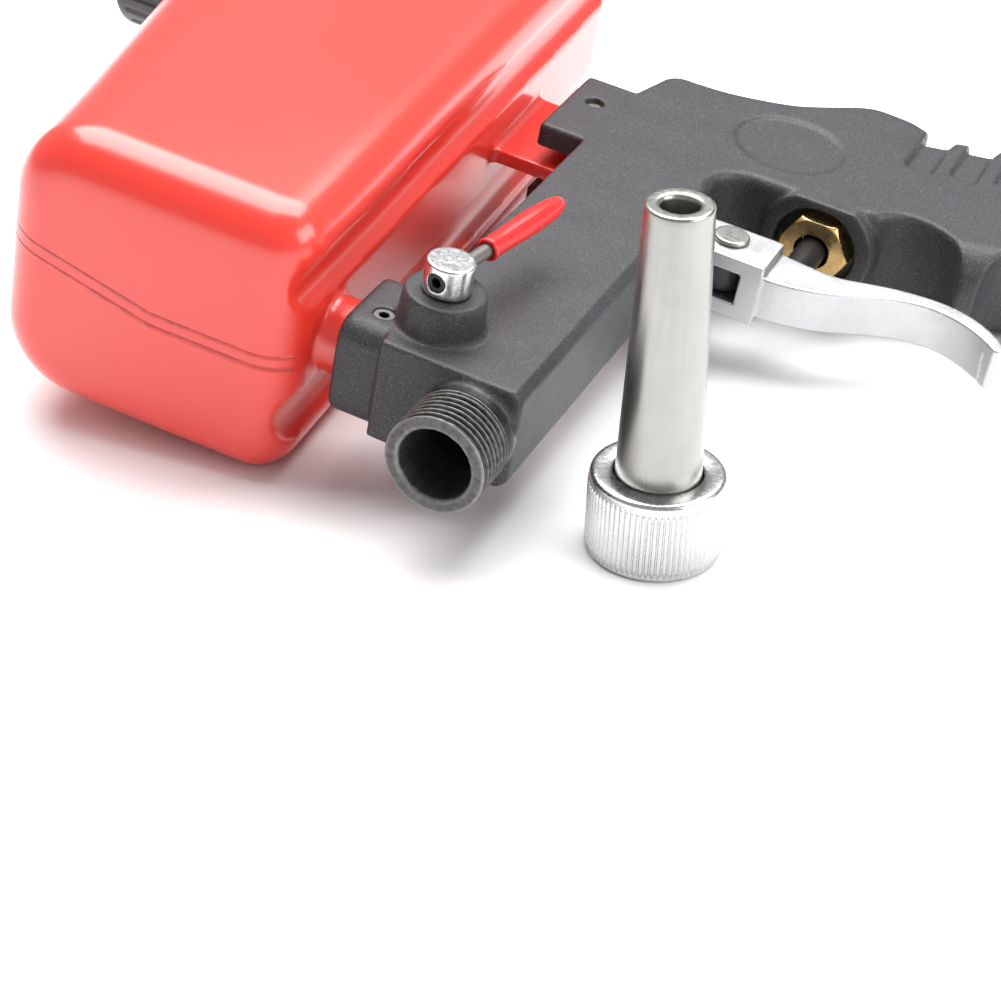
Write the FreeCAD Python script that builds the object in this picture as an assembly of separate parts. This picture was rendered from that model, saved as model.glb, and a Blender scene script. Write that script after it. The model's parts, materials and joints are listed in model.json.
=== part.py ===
import FreeCAD, Part
import math
import os

from FreeCAD import Vector as V

# Hand-held gravity-feed abrasive blasting gun lying on its right side, with its nozzle stood beside it.
#
# The gun is drawn in its own frame: x towards the grip, y back along the barrel, z out of the gun's
# left side, origin at the middle of the muzzle's end face.  The finished gun is then tipped about the
# barrel's axis, until the hopper's lower edge and the grip's end rest on one flat bench.
# Lengths are millimetres and angles are degrees.

TILT = 8.2                 # how far the grip's end drops below the level of the barrel
BENCH_Z = -22.9            # height of the bench once the gun is tipped

# ---- barrel block --------------------------------------------------------------------------------
THREAD_R = 10.0            # M20 x 1.5 muzzle thread, drawn plain at its outside radius
THREAD_DEPTH = 0.7
THREAD_LENGTH = 10.5
BORE_R = 7.15
NOSE_RING_R = 9.5
BLOCK_FRONT_Y = 14.8
BAR_LEFT_X = -19.75        # hopper side of the bar
BAR_RIGHT_X = 9.27         # grip side of the bar
BODY_HALF_Z = 10.7         # half the casting's thickness
BAR_CHAMFER = 1.8
EDGE_ROUND = 0.8
BAR_END_Y = 125.0

# ---- abrasive feed, from the hopper's neck to the bore -------------------------------------------
FEED_Y = 27.5
FEED_R = 2.9
NECK_R = 7.5
NECK_BORE_R = 5.2
NECK_END_X = -20.0
COLLAR_X = -29.4
COLLAR_HALF_Y = 11.2
COLLAR_ROUND = 4.5
NECK_SCREW_X = -23.4
NECK_SCREW_Y = 24.0
NECK_SCREW_R = 2.0

# ---- feed valve ----------------------------------------------------------------------------------
VALVE_X = -13.5
BOSS_BASE_R = 8.5
BOSS_TOP_R = 7.9
BOSS_TOP_Z = 18.2
SPINDLE_R = 6.0
SPINDLE_FOOT_Z = -9.3
SPINDLE_SHOULDER_Z = 7.0
SPINDLE_STEM_R = 4.0
SPINDLE_TENON_R = 2.5      # reduced end that the knob is pressed on
TENON = 1.0
SPINDLE_RING_Z = 4.6
CLIP_Z = -10.2
CLIP_THICKNESS = 0.8
KNOB_R = 4.7
KNOB_FOOT_Z = 18.4
KNOB_TOP_Z = 24.7
LEVER_Z = 21.4
LEVER_HEADING = 81.0       # the closed lever's direction, from +x towards +y
LEVER_TURN = 66.0          # from closed to open
ROD_R = 1.4
ROD_END = 33.0             # distances along the lever from the valve's axis
SLEEVE_START = 12.6
SLEEVE_END = 39.2
SLEEVE_R = 2.3
KNOB_SCREW_R = 1.9

# ---- hopper --------------------------------------------------------------------------------------
HOPPER_FRONT_Y = 11.3
HOPPER_REAR_Y = 186.0
HOPPER_HALF_Z = 29.3
HOPPER_GROWTH = 0.0065     # how much thicker the hopper's half gets per millimetre of length
HOPPER_ROUND = 9.0
HOPPER_FAR_ROUND = 16.0    # along the two edges furthest from the gun
HOPPER_WALL = 2.0
GUN_SIDE_X = -34.7
GUN_SIDE_SLOPE = -0.045
FAR_SIDE_X = -97.5
FAR_SIDE_SLOPE = -0.169
GROOVE_Z = 15.0
GROOVE_R = 6.5
GROOVE_OUT = 3.0           # how far outside the face the grooves' centre line runs
CAP_Y = 148.0
CAP_NECK_R = 15.0
CAP_NECK_HEIGHT = 19.0
CAP_R = 19.0
CAP_WALL = 2.5
CAP_GAP = 0.8              # between the cap's skirt and the hopper
CAP_SEAL = 1.5
CAP_FLUTES = 24

# ---- rear bracket that holds the hopper's lug ----------------------------------------------------
BRACKET_X = -30.2
BRACKET_FRONT_Y = 112.4
BRACKET_REAR_Y = 140.4
BRACKET_GAP_HALF = 5.2
LUG_PLATE_HALF_Z = 1.6
LUG_FRONT_Y = 111.0
LUG_REAR_Y = 139.5
LUG_BOSS_R = 6.0
LUG_BOLT_X = -24.2
LUG_BOLT_Y = 129.4
BOLT_R = 2.0

# ---- grip ----------------------------------------------------------------------------------------
GRIP_START = V(32.0, 142.8, 0.0)
GRIP_LEAN = 20.0
GRIP_LENGTH = 54.0
GRIP_FRONT = -27.5         # the grip's finger side and back, measured across its axis
GRIP_BACK = 25.6
GRIP_HALF_Z = 10.1
GRIP_ROUND = 8.0
GROOVE_COUNT = 4           # grooves across the grip's back, with a rib left between each two
GROOVE_SPACING = 9.4
GROOVE_WIDTH = 6.2
GROOVE_START = V(40.4, 165.6, 0.0)
GROOVE_SLOPE = 0.34
GROOVE_RUN = 14.0          # how far each groove runs down the grip's two sides
GROOVE_SIDE_DEPTH = 1.0
RECESS_AT = V(17.0, 141.5, 0.0)   # shallow round recess on each side of the body
RECESS_R = 12.2
RECESS_DEPTH = 0.6
AIR_HOLE_R = 4.0
INLET_R = 6.58             # quarter-inch pipe thread, outside radius
INLET_LENGTH = 12.0
INLET_SOCKET = 11.0
INLET_FLATS = 17.0
INLET_HEX = 6.0

# ---- air valve and trigger -----------------------------------------------------------------------
STEM_X = 32.0
HOUSING_R = 12.6
HOUSING_FRONT_Y = 121.2
NUT_FACE_Y = 119.6
NUT_FLATS = 14.0
NUT_HEX_END_Y = 124.4
NUT_SHANK_END_Y = 131.0
NUT_SHANK_R = 5.6
NUT_RECESS_R = 9.0
STEM_R = 3.1
STEM_TIP_Y = 107.1
STEM_TIP_R = 6.0           # radius of the stem's domed tip
STEM_WAIST_R = 1.9
SEAT_FRONT_Y = 137.0
SEAT_LENGTH = 2.5
DISC_R = 4.4
DISC_LENGTH = 2.0
CHAMBER_R = 5.9
CHAMBER_END_Y = 159.5
SPRING_R = 3.9
SPRING_WIRE_R = 0.45
SPRING_PITCH = 2.6
SPRING_LENGTH = 13.0
SPRING_GUIDE = 5.0
PIVOT_X = 19.0
PIVOT_Y = 101.5
PIVOT_R = 2.0
PIVOT_LUG_R = 4.9
PIN_HEAD_R = 3.8
PIN_HEAD = 1.0
PIN_END_Z = -9.2
PIN_CLIP_R = 3.8
PIN_CLIP = 0.8
FORK_R = 8.9
FORK_FRONT_Y = 94.3
FORK_REAR_Y = 107.0
FORK_END_X = 29.0
FORK_SLOT_END_X = 24.3
FORK_HALF_Z = 6.8
FORK_GAP_HALF_Z = 3.5
PIVOT_LUG_HALF_Z = 3.3
LEVER_HALF_Z = 4.7

# ---- air jet -------------------------------------------------------------------------------------
JET_R = 4.0
JET_TIP_Y = 33.5
JET_TAPER = 5.0
JET_TIP_R = 2.6
JET_END_Y = 92.0
JET_HOLE_R = 1.75
JET_RING_Y = 85.0
MIXING_END_Y = 48.0
AIR_CROSS_Y = 134.0
AIR_CROSS_R = 2.6

# ---- nozzle, stood on the bench ------------------------------------------------------------------
NOZZLE_X = 33.4
NOZZLE_Y = 26.8
NUT_R = 12.95
NUT_HEIGHT = 16.7
NUT_TOP_WALL = 3.2
KNURL_COUNT = 72
KNURL_DEPTH = 0.35
KNURL_START = 1.0
KNURL_END = 14.4
TUBE_TOP_R = 6.33
TUBE_NUT_R = 8.2
TUBE_HEIGHT = 71.3
TUBE_BORE_R = 3.5
FLANGE_R = 9.3
SEAL_POCKET_R = 9.8
FLANGE_HEIGHT = 2.2
SEAL_HEIGHT = 1.6

RUN = 0.06                 # radial clearance of a running pin
EASY = 0.2                 # gap between pieces that only pass one another

AXIS = {"x": V(1, 0, 0), "y": V(0, 1, 0), "z": V(0, 0, 1)}


# ---- small shape helpers -------------------------------------------------------------------------
def direction(axis):
    return AXIS[axis] if isinstance(axis, str) else axis


def cylinder(radius, length, at, axis="z"):
    """Cylinder from a point along an axis letter or a vector."""
    return Part.makeCylinder(radius, length, at, direction(axis))


def cone(radius_1, radius_2, length, at, axis="z"):
    return Part.makeCone(radius_1, radius_2, length, at, direction(axis))


def ring(outer, inner, length, at, axis="z"):
    return cylinder(outer, length, at, axis).cut(cylinder(inner, length, at, axis))


def torus(radius, wire, at, axis="z"):
    return Part.makeTorus(radius, wire, at, direction(axis))


def box(x, y, z):
    """Box from three (low, high) pairs."""
    return Part.makeBox(x[1] - x[0], y[1] - y[0], z[1] - z[0], V(x[0], y[0], z[0]))


def prism(edges, half_z):
    """Solid of even thickness about z = 0 on a closed chain of edges."""
    face = Part.Face(Part.Wire(Part.__sortEdges__(edges)))
    solid = face.extrude(V(0, 0, 2 * half_z))
    solid.translate(V(0, 0, -half_z))
    return solid


def lines(points):
    """Straight edges through x, y points, left open."""
    corners = [V(x, y, 0) for x, y in points]
    return [Part.makeLine(a, b) for a, b in zip(corners, corners[1:])]


def arc(start, through, end):
    return Part.Arc(V(*start, 0), V(*through, 0), V(*end, 0)).toShape()


def curve(points):
    spline = Part.BSplineCurve()
    spline.interpolate([V(x, y, 0) for x, y in points])
    return spline.toShape()


def hexagon(flats, length, at, axis):
    """Hexagonal bar along an axis."""
    corner_r = flats / math.sqrt(3)
    corners = [
        V(corner_r * math.cos(math.radians(60 * k)), corner_r * math.sin(math.radians(60 * k)), 0)
        for k in range(7)
    ]
    bar = Part.Face(Part.makePolygon(corners)).extrude(V(0, 0, length))
    bar.Placement = FreeCAD.Placement(at, FreeCAD.Rotation(V(0, 0, 1), direction(axis)))
    return bar


def socket_screw(radius, length, at, axis):
    """Headless screw whose hexagon socket is at the starting end."""
    screw = cylinder(radius, length, at, axis)
    return screw.cut(hexagon(radius, 0.5 * length, at, axis))


def fused(shapes):
    whole = shapes[0].multiFuse(shapes[1:])
    return whole.removeSplitter()


def middle(edge):
    return edge.valueAt((edge.FirstParameter + edge.LastParameter) / 2)


def parallel(edge, axis):
    if edge.Curve.TypeId != "Part::GeomLine":
        return False
    return abs(edge.Curve.Direction.dot(AXIS[axis])) > 0.999


def rounded(shape, radius, wanted):
    return shape.makeFillet(radius, [edge for edge in shape.Edges if wanted(edge)])


def on_grip(distance, across, z=0.0):
    """Point given by its distance down the grip and its distance across towards the grip's back."""
    lean = math.radians(GRIP_LEAN)
    x = distance * math.cos(lean) - across * math.sin(lean)
    y = distance * math.sin(lean) + across * math.cos(lean)
    return GRIP_START + V(x, y, z)


GRIP_AXIS = (on_grip(1, 0) - on_grip(0, 0)).normalize()
LEVER_AXIS = V(math.cos(math.radians(LEVER_HEADING)), math.sin(math.radians(LEVER_HEADING)), 0)
NECK_TOP_Z = BODY_HALF_Z - 0.1


# ---- gun body ------------------------------------------------------------------------------------
def bar():
    """Square bar round the bore, with both grip-side edges chamfered."""
    block = box((BAR_LEFT_X, BAR_RIGHT_X), (BLOCK_FRONT_Y, BAR_END_Y), (-BODY_HALF_Z, BODY_HALF_Z))
    grip_side = [edge for edge in block.Edges if parallel(edge, "y") and middle(edge).x > 0]
    block = block.makeChamfer(BAR_CHAMFER, grip_side)
    return rounded(block, EDGE_ROUND, lambda edge: middle(edge).y < BLOCK_FRONT_Y + 0.01)


def neck_collar():
    """Rounded square collar that clamps the hopper's neck."""
    collar = box(
        (COLLAR_X, BAR_LEFT_X + 3),
        (FEED_Y - COLLAR_HALF_Y, FEED_Y + COLLAR_HALF_Y),
        (-NECK_TOP_Z, NECK_TOP_Z),
    )
    collar = rounded(collar, COLLAR_ROUND, lambda edge: parallel(edge, "x"))
    return rounded(collar, 1.5, lambda edge: middle(edge).x < COLLAR_X + 0.01)


def valve_boss():
    height = BOSS_TOP_Z - BODY_HALF_Z
    boss = cone(BOSS_BASE_R, BOSS_TOP_R, height + 1, V(VALVE_X, FEED_Y, BODY_HALF_Z - 1))
    return rounded(boss, 0.7, lambda edge: middle(edge).z > BOSS_TOP_Z - 0.01)


def nose():
    """Threaded nose, and the plain ring between it and the block."""
    thread = cylinder(THREAD_R, THREAD_LENGTH, V(0, 0, 0), "y")
    thread = thread.makeChamfer(0.5, [edge for edge in thread.Edges if edge.Closed and middle(edge).y < 0.01])
    relief = cylinder(NOSE_RING_R, BLOCK_FRONT_Y + 1 - THREAD_LENGTH, V(0, THREAD_LENGTH, 0), "y")
    return thread.fuse(relief)


def rear_outline():
    """Outline of the gun's back, with the trigger's window and the finger side of the grip."""
    finger_end = on_grip(GRIP_LENGTH, GRIP_FRONT)
    back_end = on_grip(GRIP_LENGTH, GRIP_BACK)
    back_start = on_grip(16.0, GRIP_BACK)
    back = [(back_start.x, back_start.y), (32.5, 172.8), (26, 172), (20, 167.6), (14.5, 163)]
    back += [(7, 158.8), (-2, 156), (-12, 155)]
    return (
        lines([(BAR_RIGHT_X, 100), (BAR_RIGHT_X, 111)])
        + [arc((BAR_RIGHT_X, 111), (10.4, 119.0), (16.5, 122.2))]
        + lines([(16.5, 122.2), (36, HOUSING_FRONT_Y + 1), (43.5, HOUSING_FRONT_Y + 4)])
        + [curve([(43.5, HOUSING_FRONT_Y + 4), (49, 130), (57, 129), (62.8, 122.8)])]
        + [arc((62.8, 122.8), (65.2, 121.6), (67.4, 123.6))]
        + [curve([(67.4, 123.6), (71, 131.5), (78, 135.5), (finger_end.x, finger_end.y)])]
        + lines([(finger_end.x, finger_end.y), (back_end.x, back_end.y), back[0]])
        + [curve(back)]
        + [arc((-12, 155), (-15.4, 153.6), (-17.0, 150.4))]
        + lines([(-17.0, 150.4), (BAR_LEFT_X, 139), (BAR_LEFT_X, 100), (BAR_RIGHT_X, 100)])
    )


def grip_section(distance, front, back, half_z, corner):
    """Rounded rectangle across the grip, from its finger side to its back."""
    flat = half_z - corner
    low, high = front + corner, back - corner
    bend = corner * math.sqrt(0.5)
    path = [
        ((low, half_z), (high, half_z), (high + bend, flat + bend)),
        ((back, flat), (back, -flat), (high + bend, -flat - bend)),
        ((high, -half_z), (low, -half_z), (low - bend, -flat - bend)),
        ((front, -flat), (front, flat), (low - bend, flat + bend)),
    ]
    edges = []
    for k, (start, end, through) in enumerate(path):
        after = path[(k + 1) % 4][0]
        points = [on_grip(distance, *place) for place in (start, end, through, after)]
        edges.append(Part.makeLine(points[0], points[1]))
        edges.append(Part.Arc(points[1], points[2], points[3]).toShape())
    return Part.Wire(edges)


def rear_and_grip():
    """Flat-sided back of the gun running into the round-edged grip."""
    outline = prism(rear_outline(), BODY_HALF_Z)
    outline = rounded(outline, 2.0, lambda edge: abs(middle(edge).z) > BODY_HALF_Z - 0.01)
    joint, full, end = 2.0, 20.0, GRIP_LENGTH + 1.0
    beyond_finger, beyond_back = GRIP_FRONT - 3.0, GRIP_BACK + 0.5
    grip = Part.makeLoft([
        grip_section(joint, 1.7 * GRIP_FRONT, 1.5 * GRIP_BACK, BODY_HALF_Z, 2.0),
        grip_section(full, beyond_finger, beyond_back, GRIP_HALF_Z, GRIP_ROUND),
        grip_section(end, beyond_finger, beyond_back, GRIP_HALF_Z, GRIP_ROUND),
    ], True, True)
    beyond = Part.makeBox(100, 200, 60, V(0, -100, -30))
    turn = FreeCAD.Rotation(V(0, 0, 1), GRIP_LEAN)
    beyond.Placement = FreeCAD.Placement(on_grip(joint, 0), turn)
    return outline.cut(beyond).fuse(outline.common(grip))


def grip_grooves():
    """Grooves across the grip's back, each with a shallow run down both sides."""
    cutters = []
    for k in range(GROOVE_COUNT):
        x = GROOVE_START.x + k * GROOVE_SPACING
        y = GROOVE_START.y + k * GROOVE_SPACING * GROOVE_SLOPE
        end_y = y + GROOVE_WIDTH * GROOVE_SLOPE
        deep = [(x, y), (x + GROOVE_WIDTH, end_y), (x + GROOVE_WIDTH + 1.2, 210), (x, 210), (x, y)]
        cutters.append(prism(lines(deep), 2 * BODY_HALF_Z))
        run = box(
            (x, x + GROOVE_WIDTH),
            (y - GROOVE_RUN, y + 5),
            (GRIP_HALF_Z - GROOVE_SIDE_DEPTH, 2 * BODY_HALF_Z),
        )
        cutters += [run, run.mirror(V(0, 0, 0), AXIS["z"])]
    return cutters


def valve_housing():
    """Round cheek round the air valve's nut."""
    cheek = cylinder(HOUSING_R, 16, V(STEM_X, HOUSING_FRONT_Y, 0), "y")
    return cheek.common(box((20, 60), (100, 150), (-BODY_HALF_Z, BODY_HALF_Z)))


def bracket_arms():
    arms = box((BRACKET_X, BAR_LEFT_X + 2), (BRACKET_FRONT_Y, BRACKET_REAR_Y), (-NECK_TOP_Z, NECK_TOP_Z))
    arms = rounded(arms, 1.0, lambda edge: middle(edge).x < BRACKET_X + 0.01 or parallel(edge, "x"))
    gap = box((BRACKET_X - 1, BAR_LEFT_X - 0.5), (100, 150), (-BRACKET_GAP_HALF, BRACKET_GAP_HALF))
    return arms.cut(gap)


def pivot_lug():
    """Tongue in the trigger's window that carries the trigger's pin."""
    eye = cylinder(PIVOT_LUG_R, 2 * PIVOT_LUG_HALF_Z, V(PIVOT_X, PIVOT_Y, -PIVOT_LUG_HALF_Z))
    root = box(
        (BAR_RIGHT_X - 3, PIVOT_X),
        (PIVOT_Y - PIVOT_LUG_R, PIVOT_Y + PIVOT_LUG_R),
        (-PIVOT_LUG_HALF_Z, PIVOT_LUG_HALF_Z),
    )
    return eye.fuse(root)


def body_passages():
    """Everything bored or recessed in the casting."""
    grip_end = on_grip(GRIP_LENGTH + 1, 0)
    air_line = V(*on_grip(8, 0)) - grip_end
    return [
        cylinder(BORE_R, MIXING_END_Y + 1, V(0, -1, 0), "y"),
        cylinder(JET_R, AIR_CROSS_Y, V(0, 0, 0), "y"),
        cylinder(AIR_CROSS_R, STEM_X, V(0, AIR_CROSS_Y, 0), "x"),
        cylinder(NECK_R, NECK_END_X - COLLAR_X + 1, V(COLLAR_X - 1, FEED_Y, 0), "x"),
        cylinder(FEED_R, -NECK_END_X, V(NECK_END_X, FEED_Y, 0), "x"),
        cylinder(SPINDLE_R + RUN, SPINDLE_SHOULDER_Z + 20, V(VALVE_X, FEED_Y, -20), "z"),
        cylinder(SPINDLE_STEM_R + RUN, 20, V(VALVE_X, FEED_Y, SPINDLE_SHOULDER_Z - 1), "z"),
        cylinder(SPINDLE_R + 0.7, CLIP_THICKNESS, V(VALVE_X, FEED_Y, CLIP_Z), "z"),
        cylinder(NECK_SCREW_R, 20, V(NECK_SCREW_X, NECK_SCREW_Y, NECK_BORE_R), "z"),
        cylinder(BOLT_R, 20, V(LUG_BOLT_X, LUG_BOLT_Y, 0), "z"),
        cylinder(BOLT_R + EASY, 20, V(LUG_BOLT_X, LUG_BOLT_Y, -20), "z"),
        cylinder(PIVOT_R, 20, V(PIVOT_X, PIVOT_Y, -10), "z"),
        cylinder(NUT_RECESS_R, 12, V(STEM_X, NUT_HEX_END_Y - 12, 0), "y"),
        cylinder(NUT_SHANK_R, 20, V(STEM_X, NUT_HEX_END_Y - 1, 0), "y"),
        cylinder(CHAMBER_R, CHAMBER_END_Y - NUT_SHANK_END_Y, V(STEM_X, NUT_SHANK_END_Y, 0), "y"),
        cylinder(AIR_HOLE_R, air_line.Length, grip_end, air_line),
        cylinder(INLET_R, INLET_SOCKET + 1, grip_end, GRIP_AXIS * -1),
        cylinder(RECESS_R, 2, RECESS_AT + V(0, 0, BODY_HALF_Z - RECESS_DEPTH), "z"),
        cylinder(RECESS_R, 2, RECESS_AT - V(0, 0, BODY_HALF_Z + 2 - RECESS_DEPTH), "z"),
    ]


def gun_body():
    solids = [bar(), neck_collar(), valve_boss(), nose(), rear_and_grip(), valve_housing()]
    solids += [bracket_arms(), pivot_lug()]
    return fused(solids).cut(grip_grooves() + body_passages())


# ---- hopper --------------------------------------------------------------------------------------
def gun_side(y):
    return GUN_SIDE_X + GUN_SIDE_SLOPE * (y - HOPPER_FRONT_Y)


def far_side(y):
    return FAR_SIDE_X + FAR_SIDE_SLOPE * (y - HOPPER_FRONT_Y)


def hopper_block(inset):
    """The hopper's outer form, or the same form a wall's thickness smaller, with rounded edges."""
    ends = []
    for y in (HOPPER_FRONT_Y + inset, HOPPER_REAR_Y - inset):
        near, far = gun_side(y) - inset, far_side(y) + inset
        half_z = HOPPER_HALF_Z + HOPPER_GROWTH * (y - HOPPER_FRONT_Y) - inset
        ends.append([V(near, y, half_z), V(far, y, half_z), V(far, y, -half_z), V(near, y, -half_z)])
    front, rear = ends
    faces = [front, rear]
    for k in range(4):
        after = (k + 1) % 4
        faces.append([front[k], front[after], rear[after], rear[k]])
    shell = Part.makeShell([Part.Face(Part.makePolygon(corners + corners[:1])) for corners in faces])
    block = Part.makeSolid(shell)
    length = HOPPER_REAR_Y - HOPPER_FRONT_Y - 2 * inset
    block = rounded(
        block, HOPPER_FAR_ROUND - inset,
        lambda edge: middle(edge).x < far_side(CAP_Y) + 20 and edge.Length > length - 1,
    )
    return rounded(
        block, HOPPER_ROUND - inset,
        lambda edge: middle(edge).x > gun_side(CAP_Y) - 20 or edge.Length < length - 1,
    )


def side_grooves(extra):
    """Two long channels in the face towards the gun, either side of its middle rail."""
    front, rear = HOPPER_FRONT_Y - 20, HOPPER_REAR_Y + 20
    start, end = V(gun_side(front), front, 0), V(gun_side(rear), rear, 0)
    channels = []
    for z in (-GROOVE_Z, GROOVE_Z):
        at = start + V(GROOVE_OUT, 0, z)
        channels.append(cylinder(GROOVE_R + extra, (end - start).Length, at, end - start))
    return channels


def hopper_lug():
    """Moulded tab that the rear bracket holds, thickened round its bolt."""
    inner_x = gun_side(FEED_Y) - 15
    plate = box((inner_x, -21), (LUG_FRONT_Y, LUG_REAR_Y), (-LUG_PLATE_HALF_Z, LUG_PLATE_HALF_Z))
    plate = rounded(plate, 2.0, lambda edge: parallel(edge, "z") and middle(edge).x > -22)
    height = BRACKET_GAP_HALF - 0.1
    boss = cylinder(LUG_BOSS_R, 2 * height, V(LUG_BOLT_X, LUG_BOLT_Y, -height))
    boss = boss.common(box((-40, BAR_LEFT_X - 1), (100, 150), (-20, 20)))
    return plate.fuse(boss)


def hopper():
    """Hollow moulding with a feed neck, a filler neck on the far side and the rear lug."""
    filler_start = V(far_side(CAP_Y) + 20, CAP_Y, 0)
    neck_start = V(gun_side(FEED_Y) - 12, FEED_Y, 0)
    outer = hopper_block(0).cut(side_grooves(0))
    outer = fused([
        outer,
        cylinder(CAP_NECK_R, CAP_NECK_HEIGHT + 20, filler_start, AXIS["x"] * -1),
        cylinder(NECK_R, NECK_END_X - neck_start.x, neck_start, "x"),
        hopper_lug(),
    ])
    cavity = hopper_block(HOPPER_WALL).cut(side_grooves(HOPPER_WALL))
    return outer.cut([
        cavity,
        cylinder(CAP_NECK_R - HOPPER_WALL, 60, filler_start, AXIS["x"] * -1),
        cylinder(NECK_BORE_R, 60, neck_start, "x"),
        cylinder(BOLT_R + EASY, 40, V(LUG_BOLT_X, LUG_BOLT_Y, -20), "z"),
    ])


CAP_SEAT_X = far_side(CAP_Y) - CAP_NECK_HEIGHT


def hopper_cap():
    """Screw cap with a fluted skirt."""
    rim_x = far_side(CAP_Y + CAP_R) - CAP_GAP
    top_x = CAP_SEAT_X - CAP_SEAL - CAP_WALL
    cap = cylinder(CAP_R, rim_x - top_x, V(top_x, CAP_Y, 0), "x")
    cap = rounded(cap, 1.5, lambda edge: middle(edge).x < top_x + 0.01)
    hollow = cylinder(CAP_NECK_R + RUN, 40, V(top_x + CAP_WALL, CAP_Y, 0), "x")
    flutes = []
    for k in range(CAP_FLUTES):
        angle = math.radians(360 * k / CAP_FLUTES)
        at = V(top_x + 3, CAP_Y + (CAP_R + 0.5) * math.cos(angle), (CAP_R + 0.5) * math.sin(angle))
        flutes.append(cylinder(1.1, 40, at, "x"))
    return cap.cut([hollow] + flutes)


def cap_seal():
    return ring(CAP_NECK_R - 0.1, CAP_NECK_R - 3.5, CAP_SEAL - 0.02, V(CAP_SEAT_X - CAP_SEAL, CAP_Y, 0), "x")


def neck_grub_screw():
    top_z = NECK_TOP_Z - 0.4
    dy = FEED_Y - NECK_SCREW_Y - NECK_SCREW_R
    foot_z = math.sqrt(NECK_R ** 2 - dy ** 2) + 0.05
    at = V(NECK_SCREW_X, NECK_SCREW_Y, top_z)
    return socket_screw(NECK_SCREW_R - 0.02, top_z - foot_z, at, AXIS["z"] * -1)


def lug_screw():
    """Cap screw that comes up through the bracket and the lug into the upper arm."""
    head_r, head, end_z = 3.5, 2.6, NECK_TOP_Z - 1.2
    seat = V(LUG_BOLT_X, LUG_BOLT_Y, -NECK_TOP_Z)
    shaft = cylinder(BOLT_R - 0.02, end_z + NECK_TOP_Z, seat, "z")
    cap = cylinder(head_r, head, seat - V(0, 0, head), "z")
    socket = hexagon(3.0, 1.6, seat - V(0, 0, head), "z")
    return shaft.fuse(cap).cut(socket)


# ---- feed valve ----------------------------------------------------------------------------------
def on_valve(z):
    return V(VALVE_X, FEED_Y, z)


def feed_spindle():
    """Stopper with the abrasive's cross hole, lined up with the feed passage when the lever is open."""
    spindle = fused([
        cylinder(SPINDLE_R, SPINDLE_SHOULDER_Z - 0.1 - SPINDLE_FOOT_Z, on_valve(SPINDLE_FOOT_Z)),
        cylinder(SPINDLE_STEM_R, KNOB_FOOT_Z, on_valve(0)),
        cylinder(SPINDLE_TENON_R, TENON, on_valve(KNOB_FOOT_Z)),
    ])
    heading = math.radians(LEVER_TURN)
    along = V(math.cos(heading), math.sin(heading), 0)
    through = cylinder(FEED_R, 20, on_valve(0) - along * 10, along)
    groove = ring(SPINDLE_R + 1, SPINDLE_R - 1.8, 2.0, on_valve(SPINDLE_RING_Z - 1.0))
    return spindle.cut([through, groove])


def spindle_o_ring():
    return torus(SPINDLE_R - 0.88, 0.88, on_valve(SPINDLE_RING_Z))


def spindle_clip():
    clip = ring(SPINDLE_R + 0.65, SPINDLE_R - 1.2, CLIP_THICKNESS - 0.1, on_valve(CLIP_Z + 0.05))
    return clip.cut(box((VALVE_X - 2, VALVE_X + 2), (FEED_Y, FEED_Y + 20), (-20, 0)))


def valve_knob():
    """Turned knob pressed on the spindle, bored across for the lever and its screw."""
    knob = cylinder(KNOB_R, KNOB_TOP_Z - KNOB_FOOT_Z, on_valve(KNOB_FOOT_Z))
    knob = rounded(knob, 0.5, lambda edge: middle(edge).z > KNOB_TOP_Z - 0.01)
    return knob.cut([
        cylinder(SPINDLE_TENON_R, TENON, on_valve(KNOB_FOOT_Z)),
        cylinder(ROD_R, 20, on_valve(LEVER_Z), LEVER_AXIS),
        cylinder(KNOB_SCREW_R, 20, on_valve(LEVER_Z), LEVER_AXIS * -1),
    ])


def knob_grub_screw():
    mouth = on_valve(LEVER_Z) - LEVER_AXIS * (KNOB_R - 0.3)
    return socket_screw(KNOB_SCREW_R - 0.02, KNOB_R - 0.5, mouth, LEVER_AXIS)


def lever_rod():
    return cylinder(ROD_R - 0.01, ROD_END, on_valve(LEVER_Z), LEVER_AXIS)


def lever_sleeve():
    """Dipped sleeve with a rounded tip, turned about the lever's rod."""
    nose_y = SLEEVE_END - SLEEVE_R
    corner = SLEEVE_R * math.sqrt(0.5)
    tip_r = 0.3
    bore = [(tip_r, SLEEVE_END), (0, SLEEVE_END), (0, ROD_END), (ROD_R, ROD_END), (ROD_R, SLEEVE_START)]
    outline = lines(bore + [(0.9 * SLEEVE_R, SLEEVE_START), (SLEEVE_R, nose_y)])
    outline.append(arc((SLEEVE_R, nose_y), (corner, nose_y + corner), (tip_r, SLEEVE_END)))
    sleeve = Part.Face(Part.Wire(Part.__sortEdges__(outline))).revolve(V(0, 0, 0), AXIS["y"], 360)
    sleeve.Placement = FreeCAD.Placement(on_valve(LEVER_Z), FreeCAD.Rotation(AXIS["y"], LEVER_AXIS))
    return sleeve


# ---- air jet -------------------------------------------------------------------------------------
def air_jet():
    """Long jet tube whose tapered tip blows past the feed passage."""
    taper = cone(JET_TIP_R, JET_R - 0.02, JET_TAPER, V(0, JET_TIP_Y, 0), "y")
    shank_y = JET_TIP_Y + JET_TAPER
    shank = cylinder(JET_R - 0.02, JET_END_Y - shank_y, V(0, shank_y, 0), "y")
    hole = cylinder(JET_HOLE_R, 80, V(0, JET_TIP_Y - 1, 0), "y")
    groove = ring(JET_R + 1, JET_R - 1.25, 1.4, V(0, JET_RING_Y - 0.7, 0), "y")
    return taper.fuse(shank).cut([hole, groove])


def jet_o_ring():
    return torus(JET_R - 0.6, 0.59, V(0, JET_RING_Y, 0), "y")


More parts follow.
